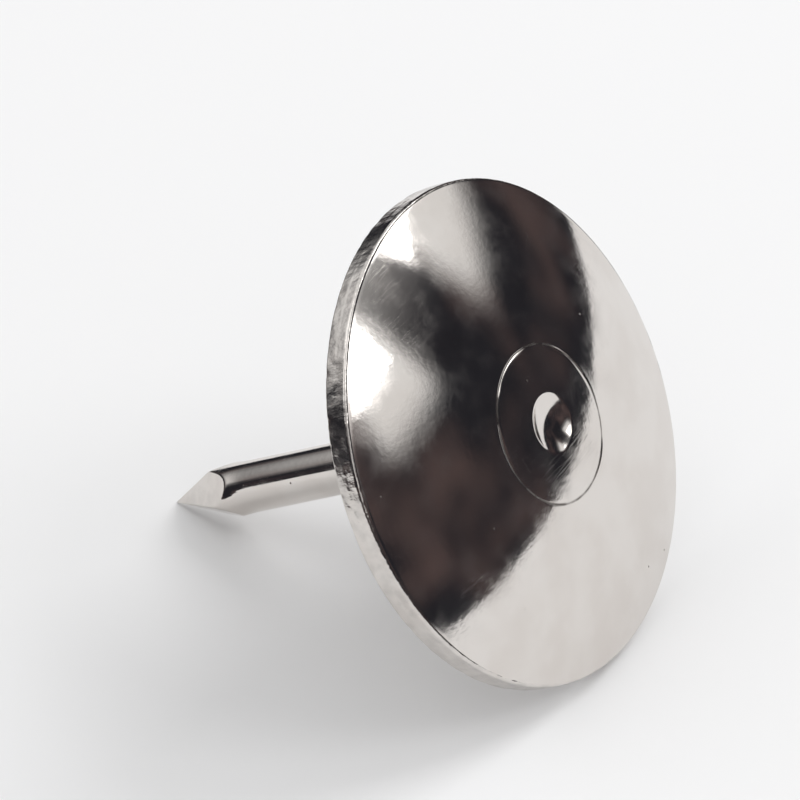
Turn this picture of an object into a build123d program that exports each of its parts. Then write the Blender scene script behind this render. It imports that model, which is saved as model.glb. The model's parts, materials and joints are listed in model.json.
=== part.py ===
from build123d import *
from math import atan2, cos, sin
import os

# Head: a domed disc of plated steel, sizes in millimetres
head_diameter = 9.53
dome_rise = 0.95  # crown above the upper edge of the rim
head_thickness = 0.45  # at the crown
rim_height = 0.45  # cut edge of the disc
rim_land = 0.25  # flat ring that seats on the board
rim_round = 0.08  # on the side of the face; the lower edge is sharp, as sheared

# Flat struck into the crown behind the hub, with a dimple in its middle
flat_diameter = 2.9
flat_depth = 0.11  # below the crown of the dome
dimple_diameter = 1.0
dimple_depth = 0.08

# Hub under the head, swaged in round the pin
hub_diameter = 2.55
hub_top_diameter = 1.55
hub_height = 0.7
hub_foot = 0.2  # straight part below the cone
hub_round = 0.1
throat_diameter = 1.2  # mouth of the socket
throat_depth = 0.15

# Pin: drawn wire with an upset root, a waist that the hub closes on, and a cut point
pin_diameter = 1.0
pin_reach = 8.2  # from the top of the hub to the point
root_diameter = 1.4
root_thickness = 0.2
waist_diameter = 0.66
point_length = 1.6
point_turn = 45  # degrees about the tack's axis, which puts a ridge between two facets on top

head_radius = head_diameter / 2
pin_radius = pin_diameter / 2
root_radius = root_diameter / 2
waist_radius = waist_diameter / 2
hub_radius = hub_diameter / 2

# Levels along the tack's axis, from the plane on which the rim seats towards the point
crown_level = -rim_height - dome_rise
flat_level = crown_level + flat_depth
middle_level = crown_level + head_thickness / 2
dish_level = crown_level + head_thickness
neck_level = dish_level + root_thickness
hub_level = dish_level + hub_height
throat_level = hub_level - throat_depth
point_level = hub_level + pin_reach

# The tack lies on its rim and its point, with its face to -Y and its point to +Y
lean = atan2(head_radius, point_level)
front = -rim_height * cos(lean) - head_radius * sin(lean)
back = point_level * cos(lean)
seat_center = (0, -(front + back) / 2, point_level * sin(lean))

# Outlines are drawn as radius and level, and turned about the tack's axis
lying_plane = Plane(seat_center, x_dir=(1, 0, 0), z_dir=(0, sin(lean), cos(lean)))
outline_plane = Plane(lying_plane.location * Rotation(0, point_turn, 0))
crossing_plane = Plane(lying_plane.location * Rotation(0, point_turn + 90, 0))
tack_axis = Axis(seat_center, outline_plane.y_dir)

# Head: pressed disc with its hub, the socket for the pin and the marks on its face
with BuildPart() as head:
    with BuildSketch(outline_plane) as disc:
        with BuildLine():
            face = TangentArc((0, crown_level), (head_radius, -rim_height), tangent=(1, 0))
            edge = Line(face @ 1, (head_radius, 0))
            land = Line(edge @ 1, (head_radius - rim_land, 0))
            dish = TangentArc((0, dish_level), land @ 1, tangent=(1, 0))
            Line(dish @ 0, face @ 0)
        make_face()
        fillet(disc.vertices().group_by(Axis.X)[-1].sort_by(Axis.Y)[0], rim_round)
    revolve(axis=tack_axis)

    with BuildSketch(outline_plane) as hub:
        with BuildLine():
            Polyline(
                (0, middle_level),
                (hub_radius, middle_level),
                (hub_radius, dish_level + hub_foot),
                (hub_top_diameter / 2, hub_level),
                (0, hub_level),
                close=True,
            )
        make_face()
        fillet(hub.vertices().group_by(Axis.Y)[-1].sort_by(Axis.X)[-1], hub_round)
    revolve(axis=tack_axis)

    with BuildSketch(outline_plane):
        with BuildLine():
            Polyline(
                (0, dish_level),
                (root_radius, dish_level),
                (root_radius, neck_level),
                (waist_radius, neck_level),
                (waist_radius, throat_level),
                (throat_diameter / 2, hub_level),
                (0, hub_level),
                close=True,
            )
        make_face()
    revolve(axis=tack_axis, mode=Mode.SUBTRACT)

    with BuildSketch(outline_plane):
        with BuildLine():
            dimple = TangentArc(
                (0, flat_level + dimple_depth), (dimple_diameter / 2, flat_level), tangent=(1, 0)
            )
            Polyline(
                dimple @ 1,
                (flat_diameter / 2, flat_level),
                (flat_diameter / 2, crown_level - flat_depth),
                (0, crown_level - flat_depth),
                dimple @ 0,
            )
        make_face()
    revolve(axis=tack_axis, mode=Mode.SUBTRACT)

# Pin: wire with its upset root, cut to four facets at the point
with BuildPart() as pin:
    with BuildSketch(outline_plane):
        with BuildLine():
            Polyline(
                (0, dish_level),
                (root_radius, dish_level),
                (root_radius, neck_level),
                (waist_radius, neck_level),
                (waist_radius, throat_level),
                (pin_radius, hub_level),
                (pin_radius, point_level),
                (0, point_level),
                close=True,
            )
        make_face()
    revolve(axis=tack_axis)

    wedge_width = pin_diameter * (point_level - dish_level) / point_length
    for wedge_plane in (outline_plane, crossing_plane):
        with BuildSketch(wedge_plane):
            with BuildLine():
                Polyline(
                    (0, point_level),
                    (-wedge_width / 2, dish_level),
                    (wedge_width / 2, dish_level),
                    close=True,
                )
            make_face()
        extrude(amount=head_diameter, both=True, mode=Mode.INTERSECT)

head.part.label = "head"
pin.part.label = "pin"
os.makedirs("parts", exist_ok=True)
export_step(head.part, "parts/head.step")
export_step(pin.part, "parts/pin.step")
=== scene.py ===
import json
from math import asin, cos, exp, pi, radians, sin, sqrt
import bpy
from mathutils import Matrix, Vector


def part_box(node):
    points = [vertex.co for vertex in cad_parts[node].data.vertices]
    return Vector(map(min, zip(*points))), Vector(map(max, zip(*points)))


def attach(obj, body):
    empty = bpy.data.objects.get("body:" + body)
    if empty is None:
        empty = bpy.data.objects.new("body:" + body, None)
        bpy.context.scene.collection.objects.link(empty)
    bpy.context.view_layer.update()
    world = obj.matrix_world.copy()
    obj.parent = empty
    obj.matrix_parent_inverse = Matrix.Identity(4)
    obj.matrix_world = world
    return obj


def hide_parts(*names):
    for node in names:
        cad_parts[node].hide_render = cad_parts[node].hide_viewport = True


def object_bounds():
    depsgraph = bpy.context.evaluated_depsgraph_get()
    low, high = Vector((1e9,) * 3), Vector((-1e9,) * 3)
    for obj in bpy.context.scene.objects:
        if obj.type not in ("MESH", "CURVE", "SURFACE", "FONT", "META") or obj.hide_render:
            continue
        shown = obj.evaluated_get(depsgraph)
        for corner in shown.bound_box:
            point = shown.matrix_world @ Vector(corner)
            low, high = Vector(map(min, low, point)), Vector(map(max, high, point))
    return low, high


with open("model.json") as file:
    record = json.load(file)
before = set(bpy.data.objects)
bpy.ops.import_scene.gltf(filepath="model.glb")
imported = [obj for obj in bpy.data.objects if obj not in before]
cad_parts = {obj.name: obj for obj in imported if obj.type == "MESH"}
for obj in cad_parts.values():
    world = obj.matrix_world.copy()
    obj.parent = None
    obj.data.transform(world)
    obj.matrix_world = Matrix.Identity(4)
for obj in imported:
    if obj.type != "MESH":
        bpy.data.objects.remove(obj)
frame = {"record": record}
cad_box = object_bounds()
scene = bpy.context.scene


# Head: a disc blanked from steel strip and pressed into a shallow dome, with a low hub raised under it
# to hold the pin. The tool that closed the hub has left a ring and a dimple in the face behind it. The
# rim is left as sheared, and bright nickel plate covers it all.
mounts = {mount["name"]: mount for mount in frame["record"]["mounts"]}
shank = mounts["shank"]
shank_center = Vector(shank["pos_m"])
tack_axis = Vector(shank["axis"]).normalized()
seat_reach = (Vector(mounts["rim_seat"]["pos_m"]) - shank_center).dot(tack_axis)
seat_center = shank_center + tack_axis * seat_reach
tack_side = Vector((1, 0, 0))
tack_turn = Matrix((tack_side, tack_axis.cross(tack_side), tack_axis)).transposed()
tack_place = Matrix.Translation(seat_center) @ tack_turn.to_4x4()

# Sizes in millimetres
head_low, head_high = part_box("head")
head_radius = (head_high.x - head_low.x) / 2 * 1000
dome_rise = 0.95
head_thickness = 0.45
rim_height = 0.45
rim_land = 0.25
rim_round = 0.08
dimple_radius = 0.575
dimple_depth = 0.13
ring_radius = 1.5
ring_depth = 0.015
hub_radius = 1.275
hub_top_radius = 0.775
hub_height = 0.7
hub_foot = 0.2
lip_dip = 0.04
throat_radius = 0.6
throat_depth = 0.15
waist_radius = 0.33
root_radius = 0.7
root_thickness = 0.2
corner = 0.02

# Levels along the axis, from the plane on which the rim seats towards the point
crown_level = -rim_height - dome_rise
dish_level = crown_level + head_thickness
hub_shoulder_level = dish_level + hub_foot
neck_level = dish_level + root_thickness
hub_level = dish_level + hub_height
throat_level = hub_level - throat_depth


def straight(start, end, count):
    """Points of an outline from start to end in this many steps, both ends included."""
    shares = [i / count for i in range(count + 1)]
    return [tuple(a + (b - a) * share for a, b in zip(start, end)) for share in shares]


def rounded(center, radius, first_turn, last_turn, count):
    """Points of an outline round a center. A turn of 0 looks away from the point, a quarter outwards."""
    turns = [first_turn + (last_turn - first_turn) * i / count for i in range(count + 1)]
    return [(center[0] + radius * sin(turn), center[1] - radius * cos(turn)) for turn in turns]


def dome_curve(radius, rise):
    """The radius of curvature of a dome that rises this much within a radius."""
    return (radius**2 + rise**2) / (2 * rise)


def sag(curve, radius):
    """How far a dome of this radius of curvature falls away at a distance from its axis."""
    return curve - sqrt(curve**2 - radius**2)


def domed(top_level, curve, first_radius, last_radius, count):
    """Points of an outline along a dome, from one distance from its axis to another."""
    first_turn = asin(first_radius / curve)
    last_turn = asin(last_radius / curve)
    return rounded((0, top_level + curve), curve, first_turn, last_turn, count)


# Outline of the face, from the middle of the dimple to the rim
face_curve = dome_curve(head_radius, dome_rise)
dimple_curve = dome_curve(dimple_radius, dimple_depth)
dimple_turn = asin(dimple_radius / dimple_curve)
dimple_level = crown_level + sag(face_curve, dimple_radius) + dimple_depth
rim_center = head_radius - rim_round
rim_turn = asin(rim_center / (face_curve - rim_round))
rim_level = crown_level + face_curve - (face_curve - rim_round) * cos(rim_turn)
face_edge = face_curve * sin(rim_turn)
ring_shares = [0.5, 1.0, 0.4, -0.2]
ring_steps = len(ring_shares) - 1
face_points = rounded((0, dimple_level - dimple_curve), dimple_curve, pi, pi - dimple_turn, 12)
face_points += domed(crown_level, face_curve, dimple_radius + corner, ring_radius - 2 * corner, 14)
ring_start = len(face_points)
face_points += domed(crown_level, face_curve, ring_radius - corner, ring_radius + corner, ring_steps)
face_points += domed(crown_level, face_curve, ring_radius + 3 * corner, face_edge, 46)

# Outline of the rim and of the underside, from the rim to the bottom of the socket
land_radius = head_radius - rim_land
dish_curve = dome_curve(land_radius, -dish_level)
foot_level = dish_level + sag(dish_curve, hub_radius)
rim_points = rounded((rim_center, rim_level), rim_round, rim_turn, pi / 2, 6)[1:]
rim_points += straight((head_radius, rim_level + corner), (head_radius, -2 * corner), 8)
rim_points += rounded((head_radius - corner, -corner), corner, pi / 2, pi, 4)
rim_points += straight((head_radius - 2 * corner, 0), (land_radius + corner, 0), 5)
dish_points = domed(dish_level, dish_curve, land_radius - corner, hub_radius + corner, 40)
hub_points = straight((hub_radius, foot_level), (hub_radius, hub_shoulder_level - corner), 4)
hub_points += straight(
    (hub_radius - corner, hub_shoulder_level + corner),
    (hub_top_radius + 2 * corner, hub_level - 3 * corner),
    10,
)
lip_points = [(hub_top_radius, hub_level - corner), (hub_top_radius - corner, hub_level - corner / 3)]
lip_points += straight((hub_top_radius - 2 * corner, hub_level), (throat_radius + corner / 2, hub_level), 3)
throat_points = straight((throat_radius, hub_level + corner / 2), (waist_radius, throat_level), 5)
socket_points = [
    (waist_radius, neck_level),
    (root_radius, neck_level),
    (root_radius, dish_level),
    (0.0, dish_level),
]
head_points = face_points + rim_points + dish_points + hub_points
lip_start = len(head_points)
head_points += lip_points + throat_points + socket_points

# The lower edge of the rim is nicked most, and the tool has pressed in the ring and the lip of the hub
least_wear = 0.12
worn_height = 8 * corner
head_wear = [0.0] * len(face_points)
head_wear += [max(least_wear, 1.0 + level / worn_height) for _, level in rim_points]
head_wear += [0.0] * (len(head_points) - len(head_wear))
ring_press = [share * ring_depth / 1000 for share in ring_shares]
lip_press = [-lip_dip / 1000] * len(lip_points)
head_press = [0.0] * len(head_points)
head_press[ring_start : ring_start + len(ring_press)] = ring_press
head_press[lip_start : lip_start + len(lip_press)] = lip_press


def add_node(tree, kind, links=None, **settings):
    """A node with these settings; links gives each input's value or the socket that feeds it."""
    made = tree.nodes.new(kind)
    for name, value in settings.items():
        setattr(made, name, value)
    for name, source in (links or {}).items():
        if isinstance(source, bpy.types.NodeSocket):
            tree.links.new(source, made.inputs[name])
        else:
            made.inputs[name].default_value = source
    return made


def add_math(tree, operation, *values):
    """The result of one sum on sockets or plain numbers."""
    return add_node(tree, "ShaderNodeMath", dict(enumerate(values)), operation=operation).outputs[0]


def ramp(tree, value, first, last, start=0.0, end=1.0):
    """Start up to the value first, end from the value last, and a smooth change between them."""
    return add_node(
        tree,
        "ShaderNodeMapRange",
        {"Value": value, "From Min": first, "From Max": last, "To Min": start, "To Max": end},
        interpolation_type="SMOOTHSTEP",
    ).outputs["Result"]


turned = bpy.data.node_groups.new("turned_from_outline", "GeometryNodeTree")
turned.is_modifier = True
turned_inputs = {}
for input_name, input_kind in (
    ("Outline", "Geometry"),
    ("Segments", "Int"),
    ("Waviness", "Float"),
    ("Waves per metre", "Float"),
    ("Nick depth", "Float"),
    ("Nicks per metre", "Float"),
    ("Seed", "Float"),
    ("Point level", "Float"),
    ("Point slope", "Float"),
    ("Edge round", "Float"),
    ("Plate", "Material"),
):
    socket = turned.interface.new_socket(input_name, in_out="INPUT", socket_type="NodeSocket" + input_kind)
    turned_inputs[input_name] = socket.identifier
turned.interface.new_socket("Piece", in_out="OUTPUT", socket_type="NodeSocketGeometry")

# One row of the grid for each point of the outline, and one column for each segment of the turn
given = add_node(turned, "NodeGroupInput").outputs
outline_size = add_node(turned, "GeometryNodeAttributeDomainSize", {"Geometry": given["Outline"]})
rows = outline_size.outputs["Point Count"]
columns = add_math(turned, "ADD", given["Segments"], 1.0)
grid_sizes = {"Size X": 1.0, "Size Y": 1.0, "Vertices X": columns, "Vertices Y": rows}
grid = add_node(turned, "GeometryNodeMeshGrid", grid_sizes).outputs["Mesh"]
position = add_node(turned, "GeometryNodeInputPosition").outputs["Position"]
cell = add_node(turned, "ShaderNodeSeparateXYZ", {"Vector": position}).outputs
turn = add_math(turned, "MULTIPLY_ADD", cell["X"], 2 * pi, pi)
across = add_math(turned, "COSINE", turn)
along = add_math(turned, "SINE", turn)
row_share = add_math(turned, "ADD", cell["Y"], 0.5)
last_row = add_math(turned, "SUBTRACT", rows, 1.0)
row = add_math(turned, "ROUND", add_math(turned, "MULTIPLY", row_share, last_row))


def at_row(field, data_type):
    """What a field of the outline holds at the point of this row."""
    return add_node(
        turned,
        "GeometryNodeSampleIndex",
        {"Geometry": given["Outline"], "Value": field, "Index": row},
        data_type=data_type,
    ).outputs[0]


def round_axis(radius, level):
    """The place at this radius and level, turned about the axis with the column."""
    return add_node(
        turned,
        "ShaderNodeCombineXYZ",
        {
            "X": add_math(turned, "MULTIPLY", radius, across),
            "Y": add_math(turned, "MULTIPLY", radius, along),
            "Z": level,
        },
    ).outputs[0]


drawn_place = at_row(position, "FLOAT_VECTOR")
drawn = add_node(turned, "ShaderNodeSeparateXYZ", {"Vector": drawn_place}).outputs
row_marks = {}
for mark_name in ("wear", "press", "flare"):
    mark = add_node(turned, "GeometryNodeInputNamedAttribute", {"Name": mark_name}, data_type="FLOAT")
    row_marks[mark_name] = at_row(mark.outputs["Attribute"], "FLOAT")
sideways = add_math(turned, "MULTIPLY", across, across)
flared = add_math(turned, "MULTIPLY_ADD", row_marks["flare"], sideways, drawn["X"])

# Four flat facets close in on the axis towards the point, with a ridge uppermost
ridge_turn = radians(45)
ridge_round = 0.05
facet_turn = add_math(turned, "SUBTRACT", turn, ridge_turn)
facet_across = add_math(turned, "ABSOLUTE", add_math(turned, "COSINE", facet_turn))
facet_along = add_math(turned, "ABSOLUTE", add_math(turned, "SINE", facet_turn))
facet_share = add_math(turned, "SMOOTH_MAX", facet_across, facet_along, ridge_round)
facet_reach = add_math(turned, "SUBTRACT", given["Point level"], drawn["Z"])
facet_half = add_math(turned, "MULTIPLY", facet_reach, given["Point slope"])
facet_radius = add_math(turned, "DIVIDE", facet_half, facet_share)
eased_radius = add_math(turned, "SMOOTH_MIN", flared, facet_radius, given["Edge round"])
cut_radius = add_math(turned, "MAXIMUM", eased_radius, 0.0)
pointed = add_math(turned, "GREATER_THAN", given["Point slope"], 0.0)
plain_radius = add_node(
    turned,
    "GeometryNodeSwitch",
    {"Switch": pointed, "False": flared, "True": cut_radius},
    input_type="FLOAT",
).outputs[0]

# Slight waves in the pressed metal, nicks where the outline is worn, and tool marks that come and go
outline_place = round_axis(drawn["X"], drawn["Z"])
wave_noise, nick_noise = (
    add_node(
        turned,
        "ShaderNodeTexNoise",
        {"Vector": outline_place, "W": given["Seed"], "Scale": given[scale_name], "Detail": detail},
        noise_dimensions="4D",
    ).outputs[0]
    for scale_name, detail in (("Waves per metre", 1.0), ("Nicks per metre", 2.0))
)
wave = add_math(turned, "MULTIPLY", add_math(turned, "SUBTRACT", wave_noise, 0.5), given["Waviness"])
nick_gain = 4.0
nick_rise = add_math(turned, "MULTIPLY_ADD", nick_noise, nick_gain, -nick_gain / 2)
nick_share = add_math(turned, "MAXIMUM", nick_rise, 0.0)
nick_reach = add_math(turned, "MULTIPLY", row_marks["wear"], given["Nick depth"])
nick = add_math(turned, "MULTIPLY", nick_share, nick_reach)
nicked_radius = add_math(turned, "SUBTRACT", plain_radius, nick)
press_share = ramp(turned, wave_noise, 0.42, 0.56, 0.05, 1.0)
press = add_math(turned, "MULTIPLY", row_marks["press"], press_share)
pressed_level = add_math(turned, "ADD", drawn["Z"], add_math(turned, "ADD", wave, press))
final_place = round_axis(nicked_radius, pressed_level)
seam_gap = 1e-7
made_so_far = grid
for step, step_links in (
    ("GeometryNodeSetPosition", {"Position": final_place}),
    ("GeometryNodeMergeByDistance", {"Distance": seam_gap}),
    ("GeometryNodeSetShadeSmooth", {}),
    ("GeometryNodeRealizeInstances", {}),
    ("GeometryNodeSetMaterial", {"Material": given["Plate"]}),
):
    made_so_far = add_node(turned, step, {"Geometry": made_so_far, **step_links}).outputs[0]
add_node(turned, "NodeGroupOutput", {"Piece": made_so_far})


def turned_piece(name, points, marks, sizes):
    """A plain mesh at its place on the tack, turned from an outline in millimetres; sizes are in metres."""
    outline = bpy.data.meshes.new(name + "_outline")
    places = [(point[0] / 1000, 0, point[1] / 1000) for point in points]
    outline.from_pydata(places, [(i, i + 1) for i in range(len(places) - 1)], [])
    for mark_name in row_marks:
        shares = marks.get(mark_name, [0.0] * len(points))
        outline.attributes.new(mark_name, "FLOAT", "POINT").data.foreach_set("value", shares)
    holder = bpy.data.objects.new(name + "_outline", outline)
    scene.collection.objects.link(holder)
    modifier = holder.modifiers.new("turned", "NODES")
    modifier.node_group = turned
    for size_name, value in sizes.items():
        modifier[turned_inputs[size_name]] = value
    solid = bpy.data.meshes.new_from_object(holder.evaluated_get(bpy.context.evaluated_depsgraph_get()))
    bpy.data.objects.remove(holder)
    solid.name = name
    solid.transform(tack_place)
    piece = bpy.data.objects.new(name, solid)
    scene.collection.objects.link(piece)
    return piece


def band(tree, value, middle, reach):
    """One at the middle value, fading to nothing at this reach on either side."""
    aside = add_math(tree, "ABSOLUTE", add_math(tree, "SUBTRACT", value, middle))
    return ramp(tree, aside, 0.0, reach, 1.0, 0.0)


def noise(tree, place, scale, detail, stretch=(1, 1, 1)):
    """Soft noise of about this many features in a millimetre, stretched where a share is under one."""
    stretched = add_node(tree, "ShaderNodeVectorMath", {0: place, 1: stretch}, operation="MULTIPLY")
    sizes = {"Vector": stretched.outputs[0], "Scale": scale, "Detail": detail}
    return add_node(tree, "ShaderNodeTexNoise", sizes).outputs[0]


def blend(tree, share, first, second):
    """A colour between two, each a socket or a plain colour."""
    return add_node(tree, "ShaderNodeMix", {0: share, 6: first, 7: second}, data_type="RGBA").outputs[2]


def layered(tree, height, layers):
    """A height with textures on it, each where it shows and to its depth in thousandths of a millimetre."""
    for texture, where, depth in layers:
        shown = add_math(tree, "MULTIPLY", texture, where)
        height = add_math(tree, "MULTIPLY_ADD", shown, depth, height)
    return height


bright_nickel = (0.725, 0.690, 0.657, 1)
clouded_nickel = (0.685, 0.645, 0.610, 1)
worn_nickel = (0.48, 0.46, 0.44, 1)
# The dark brown is painted shade for the crevices, not a colour of the plate
painted_shade_brown = (0.085, 0.070, 0.058, 1)
speck_brown = (0.12, 0.10, 0.085, 1)


def nickel(name, piece_marks):
    """Bright nickel plate, slightly warm, with grain, hairlines and specks, and the marks of its piece."""
    plate = bpy.data.materials.new(name)
    plate.use_nodes = True
    tree = plate.node_tree
    shader = tree.nodes["Principled BSDF"]
    shader.inputs["Metallic"].default_value = 1.0
    to_tack = tack_place.inverted()
    place = add_node(
        tree,
        "ShaderNodeMapping",
        {
            "Vector": add_node(tree, "ShaderNodeTexCoord").outputs["Object"],
            "Location": to_tack.to_translation() * 1000,
            "Rotation": to_tack.to_euler(),
            "Scale": (1000, 1000, 1000),
        },
    ).outputs[0]
    mark_height, painted_crevice_shade, wear = piece_marks(tree, place)

    cloud = ramp(tree, noise(tree, place, scale=0.9, detail=3.0), 0.35, 0.65)
    streak = noise(tree, place, scale=1.0, detail=0.0, stretch=(0.35, 21, 21))
    streak_mask = ramp(tree, noise(tree, place, scale=0.7, detail=1.0), 0.52, 0.62)
    hairline = add_math(tree, "MULTIPLY", band(tree, streak, 0.62, 0.03), streak_mask)
    spot = add_node(tree, "ShaderNodeTexVoronoi", {"Vector": place, "Scale": 2.4}).outputs
    spot_shape = ramp(tree, spot["Distance"], 0.03, 0.075, 1.0, 0.0)
    spot_chance = add_node(tree, "ShaderNodeSeparateColor", {0: spot["Color"]}).outputs[0]
    speck = add_math(tree, "MULTIPLY", spot_shape, ramp(tree, spot_chance, 0.74, 0.76))
    grain = noise(tree, place, scale=9.0, detail=3.0)

    colour = blend(tree, cloud, bright_nickel, clouded_nickel)
    # Worn rim and specks are the plate's own marks; the dark brown is painted shade in the crevices, which
    # are also dulled
    stains_and_shade = [(wear, 0.55, worn_nickel), (painted_crevice_shade, 0.75, painted_shade_brown), (speck, 0.8, speck_brown)]
    for where_marked, most, mark_colour in stains_and_shade:
        colour = blend(tree, add_math(tree, "MULTIPLY", where_marked, most), colour, mark_colour)
    tree.links.new(colour, shader.inputs["Base Color"])

    dullness = ramp(tree, noise(tree, place, scale=2.2, detail=3.0), 0.35, 0.7, 0.07, 0.13)
    for where_marked, added in ((wear, 0.16), (painted_crevice_shade, 0.25), (speck, 0.3), (hairline, 0.05)):
        dullness = add_math(tree, "MULTIPLY_ADD", where_marked, added, dullness)
    tree.links.new(dullness, shader.inputs["Roughness"])

    thousandth = 1e-6
    layers = [(grain, 1.0, 0.8), (hairline, 1.0, -0.1), (speck, 1.0, -1.2)]
    height = layered(tree, mark_height, layers)
    bump = add_node(tree, "ShaderNodeBump", {"Height": height, "Strength": 1.0, "Distance": thousandth})
    tree.links.new(bump.outputs["Normal"], shader.inputs["Normal"])
    return plate


def head_marks(tree, place):
    """Marks of the press tool, the torn rim, the dish's coarser skin, and painted shade in the corners."""
    along_x, along_y, level = add_node(tree, "ShaderNodeSeparateXYZ", {"Vector": place}).outputs
    along_y_squared = add_math(tree, "MULTIPLY", along_y, along_y)
    reach_squared = add_math(tree, "MULTIPLY_ADD", along_x, along_x, along_y_squared)
    from_axis = add_math(tree, "SQRT", reach_squared)

    # A parabola of the mean curve follows the face, and what is well past it is the underside
    underside_start = 0.18
    underside_end = 0.26
    face_level = add_math(tree, "MULTIPLY_ADD", reach_squared, 1 / (face_curve + dish_curve), crown_level)
    past_face = add_math(tree, "SUBTRACT", level, face_level)
    under = ramp(tree, past_face, underside_start, underside_end)
    over = add_math(tree, "SUBTRACT", 1.0, under)
    on_rim = ramp(tree, from_axis, head_radius - 3 * corner, head_radius - corner)
    near_hub = ramp(tree, from_axis, hub_radius, hub_radius + 5 * corner, 1.0, 0.0)
    on_hub = add_math(tree, "MULTIPLY", under, near_hub)
    in_dish = add_math(tree, "SUBTRACT", under, on_hub)

    wave_pitch = 0.14
    ring_wave = add_math(tree, "SINE", add_math(tree, "MULTIPLY", from_axis, 2 * pi / wave_pitch))
    wave_patch = noise(tree, place, scale=0.6, detail=1.0)
    shear = noise(tree, place, scale=17.0, detail=2.0, stretch=(1, 1, 0.12))
    torn = noise(tree, place, scale=3.4, detail=3.0, stretch=(1, 1, 0.7))
    skin = noise(tree, place, scale=4.5, detail=1.0)
    swaged = noise(tree, place, scale=1.7, detail=0.4)
    layers = [
        (ring_wave, wave_patch, 0.06),
        (shear, on_rim, 1.6),
        (torn, on_rim, 24.0),
        (skin, in_dish, 6.5),
        (skin, on_hub, 3.0),
        (swaged, on_hub, 16.0),
    ]
    height = layered(tree, 0.0, layers)

    # Painted shade: darker bands in the ring on the face, round the foot of the hub and in the throat, in
    # patches
    painted_shade_bands = 0.0
    for middle, reach, side in (
        (ring_radius, 2 * corner, over),
        (hub_radius + corner, 8 * corner, under),
        (throat_radius - 2 * corner, 5 * corner, under),
    ):
        painted_ring_shade = add_math(tree, "MULTIPLY", band(tree, from_axis, middle, reach), side)
        painted_shade_bands = add_math(tree, "MAXIMUM", painted_shade_bands, painted_ring_shade)
    painted_shade_patch = ramp(tree, noise(tree, place, scale=3.0, detail=2.0), 0.3, 0.6, 0.35, 1.0)
    painted_crevice_shade = add_math(tree, "MULTIPLY", painted_shade_bands, painted_shade_patch)
    wear_patch = ramp(tree, noise(tree, place, scale=4.0, detail=2.0), 0.35, 0.65, 0.2, 0.8)
    wear = add_math(tree, "MULTIPLY", on_rim, wear_patch)
    return height, painted_crevice_shade, wear


head = turned_piece(
    "head_plated",
    head_points,
    {"wear": head_wear, "press": head_press},
    {
        "Segments": 512,
        "Waviness": 4e-6,
        "Waves per metre": 600.0,
        "Nick depth": 2e-5,
        "Nicks per metre": 3500.0,
        "Seed": 3.0,
        "Point level": 0.0,
        "Point slope": 0.0,
        "Edge round": 1e-5,
        "Plate": nickel("head_nickel", head_marks),
    },
)
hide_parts("head")
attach(head, "root")


# Pin: a length of drawn steel wire whose root is upset in the hub. Its end is pinched off to a
# four-sided point, which leaves slight shoulders where the facets begin. Nickel plated with the head.
pin_radius = shank["dims"]["r_mm"]
point_level = (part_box("pin")[1].y - seat_center.y) * 1000 / tack_axis.y
point_length = 1.6
shoulder_setback = 1.5
shoulder_level = point_level - shoulder_setback
shoulder_reach = 0.3
shoulder_flare = 0.09
pin_points = socket_points[::-1]
pin_points += straight((waist_radius, throat_level), (pin_radius, hub_level), 4)
pin_points += straight((pin_radius, hub_level + corner), (pin_radius, point_level - corner), 220)
pin_points += [(0.0, point_level)]
shoulder_distances = [(level - shoulder_level) / shoulder_reach for _, level in pin_points]
pin_flare = [shoulder_flare / 1000 * exp(-(distance**2)) for distance in shoulder_distances]


def pin_marks(tree, place):
    """Lines from the drawing die along the wire, tool marks on the facets, and painted shade at the hub."""
    level = add_node(tree, "ShaderNodeSeparateXYZ", {"Vector": place}).outputs["Z"]
    facets_start = shoulder_level - shoulder_reach
    facets_end = shoulder_level + shoulder_reach
    on_facets = ramp(tree, level, facets_start, facets_end)
    line_depth = ramp(tree, level, facets_start, facets_end, 2.8, 1.6)
    die_lines = noise(tree, place, scale=1.0, detail=3.0, stretch=(13, 13, 0.3))
    tool_lines = noise(tree, place, scale=1.0, detail=2.0, stretch=(2, 2, 30))
    height = layered(tree, 0.0, [(die_lines, line_depth, 1.0), (tool_lines, on_facets, 0.6)])
    # Painted shade on the wire where it goes into the hub
    painted_crevice_shade = add_math(tree, "MULTIPLY", band(tree, level, hub_level, 11 * corner), 0.8)
    wear_patch = ramp(tree, noise(tree, place, scale=3.0, detail=2.0), 0.4, 0.7, 0.0, 0.5)
    wear = add_math(tree, "MULTIPLY", on_facets, wear_patch)
    return height, painted_crevice_shade, wear


pin = turned_piece(
    "pin_plated",
    pin_points,
    {"flare": pin_flare},
    {
        "Segments": 192,
        "Waviness": 0.0,
        "Waves per metre": 600.0,
        "Nick depth": 0.0,
        "Nicks per metre": 4000.0,
        "Seed": 5.0,
        "Point level": point_level / 1000,
        "Point slope": pin_radius / point_length,
        "Edge round": 2e-5,
        "Plate": nickel("pin_nickel", pin_marks),
    },
)
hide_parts("pin")
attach(pin, "root")


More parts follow.
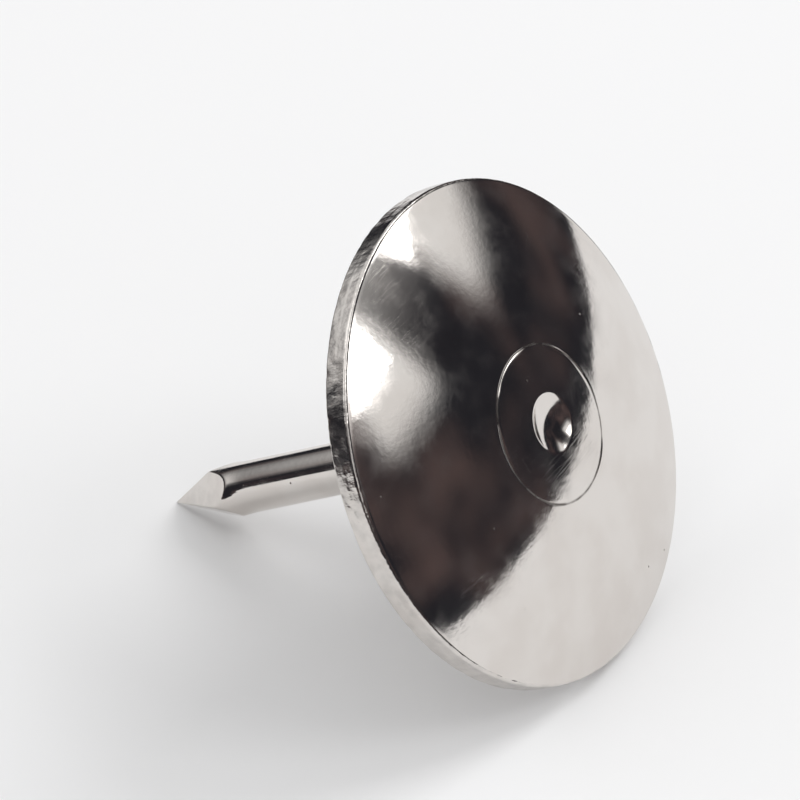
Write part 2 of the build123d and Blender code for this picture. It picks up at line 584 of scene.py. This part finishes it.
# Floor: a plain matt white sheet under the tack. Away from the tack it fades into the pale background,
# so that neither an edge nor a horizon shows.
background = 0.92
floor_half = 0.4
floor_fade_start = 0.03
floor_fade_end = 0.11
floor_corners = [(-1, -1), (1, -1), (1, 1), (-1, 1)]
floor_mesh = bpy.data.meshes.new("floor")
floor_mesh.from_pydata([(x * floor_half, y * floor_half, 0) for x, y in floor_corners], [], [(0, 1, 2, 3)])
floor = bpy.data.objects.new("floor", floor_mesh)
scene.collection.objects.link(floor)
floor_white = bpy.data.materials.new("floor_white")
floor_white.use_nodes = True
floor_tree = floor_white.node_tree
floor_shader = floor_tree.nodes["Principled BSDF"]
floor_shader.inputs["Base Color"].default_value = (0.9, 0.9, 0.905, 1)
floor_shader.inputs["Roughness"].default_value = 1.0
floor_shader.inputs["Specular IOR Level"].default_value = 0.0
floor_place = add_node(floor_tree, "ShaderNodeTexCoord").outputs["Object"]
floor_length = add_node(floor_tree, "ShaderNodeVectorMath", {0: floor_place}, operation="LENGTH")
floor_share = ramp(floor_tree, floor_length.outputs["Value"], floor_fade_start, floor_fade_end)
floor_far = add_node(floor_tree, "ShaderNodeEmission", {"Color": (1, 1, 1, 1), "Strength": background})
floor_mix = add_node(
    floor_tree,
    "ShaderNodeMixShader",
    {0: floor_share, 1: floor_shader.outputs[0], 2: floor_far.outputs[0]},
)
floor_tree.links.new(floor_mix.outputs[0], floor_tree.nodes["Material Output"].inputs["Surface"])
floor_mesh.materials.append(floor_white)


# Dark cards: they stand for an unlit room, which only the bright metal shows. They go round the tack,
# with soft openings for the lamps on either hand and a wide one high up behind it.
card_reach = 0.055
card_top = 64
card_top_fade = card_top / 1.4
card_step = 2
room_black = (0.021, 0.021, 0.026, 1)
room_brown = (0.105, 0.075, 0.073, 1)

# Each opening has an azimuth, half its width, a height and half its height, in degrees
side_openings = [(18, 9, 40, 9), (62, 11, 36, 10), (128, 8, 44, 8)]
openings = [(180, 26, 58, 33)]
for azimuth, *sizes in side_openings:
    openings += [(azimuth, *sizes), (-azimuth, *sizes)]


def toward(azimuth, height):
    """The direction at this azimuth and height in degrees; an azimuth of 0 looks to -Y and 90 to +X."""
    level = cos(radians(height))
    return Vector((sin(radians(azimuth)) * level, -cos(radians(azimuth)) * level, sin(radians(height))))


def fade(distance, reach):
    """One up to 0.7 of the reach and nothing from 1.5 times it, with a smooth change between."""
    share = min(max((abs(distance) / reach - 0.7) / 0.8, 0.0), 1.0)
    return 1 - share * share * (3 - 2 * share)


card_azimuths = range(-180, 181, card_step)
card_heights = range(0, card_top + 1, card_step)
card_points = [(azimuth, height) for height in card_heights for azimuth in card_azimuths]
card_columns = len(card_azimuths)
card_faces = [
    (i, i + 1, i + 1 + card_columns, i + card_columns)
    for i in range(len(card_points) - card_columns)
    if (i + 1) % card_columns
]
card_mesh = bpy.data.meshes.new("dark_cards")
card_mesh.from_pydata([toward(*point) * card_reach for point in card_points], [], card_faces)
cover = []
for azimuth, height in card_points:
    lit = 0.0
    for middle, reach, middle_height, height_reach in openings:
        aside = (azimuth - middle + 180) % 360 - 180
        lit = max(lit, fade(aside, reach) * fade(height - middle_height, height_reach))
    cover.append((1 - lit) * fade(height, card_top_fade))
card_mesh.attributes.new("cover", "FLOAT", "POINT").data.foreach_set("value", cover)
cards = bpy.data.objects.new("dark_cards", card_mesh)
scene.collection.objects.link(cards)
cards.visible_camera = False
cards.visible_diffuse = False
cards.visible_shadow = False
cards.visible_transmission = False
dark = bpy.data.materials.new("unlit_room")
dark.use_nodes = True
dark_tree = dark.node_tree
dark_tree.nodes.remove(dark_tree.nodes["Principled BSDF"])
dark_place = add_node(dark_tree, "ShaderNodeTexCoord").outputs["Object"]
dark_noise = add_node(dark_tree, "ShaderNodeTexNoise", {"Vector": dark_place, "Scale": 45.0, "Detail": 2.0})
brown_share = ramp(dark_tree, dark_noise.outputs[0], 0.48, 0.70)
dark_colour = blend(dark_tree, brown_share, room_black, room_brown)
dark_glow = add_node(dark_tree, "ShaderNodeEmission", {"Color": dark_colour})
clear = add_node(dark_tree, "ShaderNodeBsdfTransparent")
cover_share = add_node(dark_tree, "ShaderNodeAttribute", attribute_name="cover").outputs["Fac"]
dark_mix = add_node(
    dark_tree,
    "ShaderNodeMixShader",
    {0: cover_share, 1: clear.outputs[0], 2: dark_glow.outputs[0]},
)
dark_tree.links.new(dark_mix.outputs[0], dark_tree.nodes["Material Output"].inputs["Surface"])
card_mesh.materials.append(dark)


# Light: a pale room and three soft lamps. The strongest is behind the tack on the right, as the shadows
# tell, a second one stands before the face, and a weak one is over the pin.
room_light = 0.66
lamp_reach = 0.45
world = bpy.data.worlds.new("pale_room")
world.use_nodes = True
scene.world = world
sky_tree = world.node_tree
sky = sky_tree.nodes["Background"].inputs
path = add_node(sky_tree, "ShaderNodeLightPath").outputs
seen = add_math(sky_tree, "MAXIMUM", path["Is Camera Ray"], path["Is Glossy Ray"])
seen = add_math(sky_tree, "MAXIMUM", seen, path["Is Transmission Ray"])
sky_tree.links.new(ramp(sky_tree, seen, 0.0, 1.0, room_light, background), sky["Strength"])
sky["Color"].default_value = (1, 1, 1, 1)
for lamp_name, azimuth, height, lamp_size, power in (
    ("key_lamp", 63, 45, 0.2, 0.66),
    ("second_lamp", 15, 44, 0.16, 0.24),
    ("fill_lamp", -150, 55, 0.3, 0.2),
):
    lamp = bpy.data.objects.new(lamp_name, bpy.data.lights.new(lamp_name, "AREA"))
    lamp.data.shape = "SQUARE"
    lamp.data.size = lamp_size
    lamp.data.energy = power
    lamp.location = toward(azimuth, height) * lamp_reach
    lamp.rotation_mode = "QUATERNION"
    lamp.rotation_quaternion = toward(azimuth, height).to_track_quat("Z", "Y")
    scene.collection.objects.link(lamp)


# Camera: the photograph looks down at about 37 degrees through a long lens. From that height this view
# takes in the face, the rim and the pin.
camera_azimuth = -62
camera_height = 37.5
camera_distance = 0.165
camera_back = toward(camera_azimuth, camera_height)
camera = bpy.data.objects.new("camera", bpy.data.cameras.new("camera"))
camera.data.lens = 400
camera.data.clip_start = 0.001
camera.data.clip_end = 5
camera.location = (cad_box[0] + cad_box[1]) / 2 + camera_back * camera_distance
camera.rotation_mode = "QUATERNION"
camera.rotation_quaternion = (-camera_back).to_track_quat("-Z", "Y")
scene.collection.objects.link(camera)
scene.camera = camera
scene.view_settings.view_transform = "Standard"
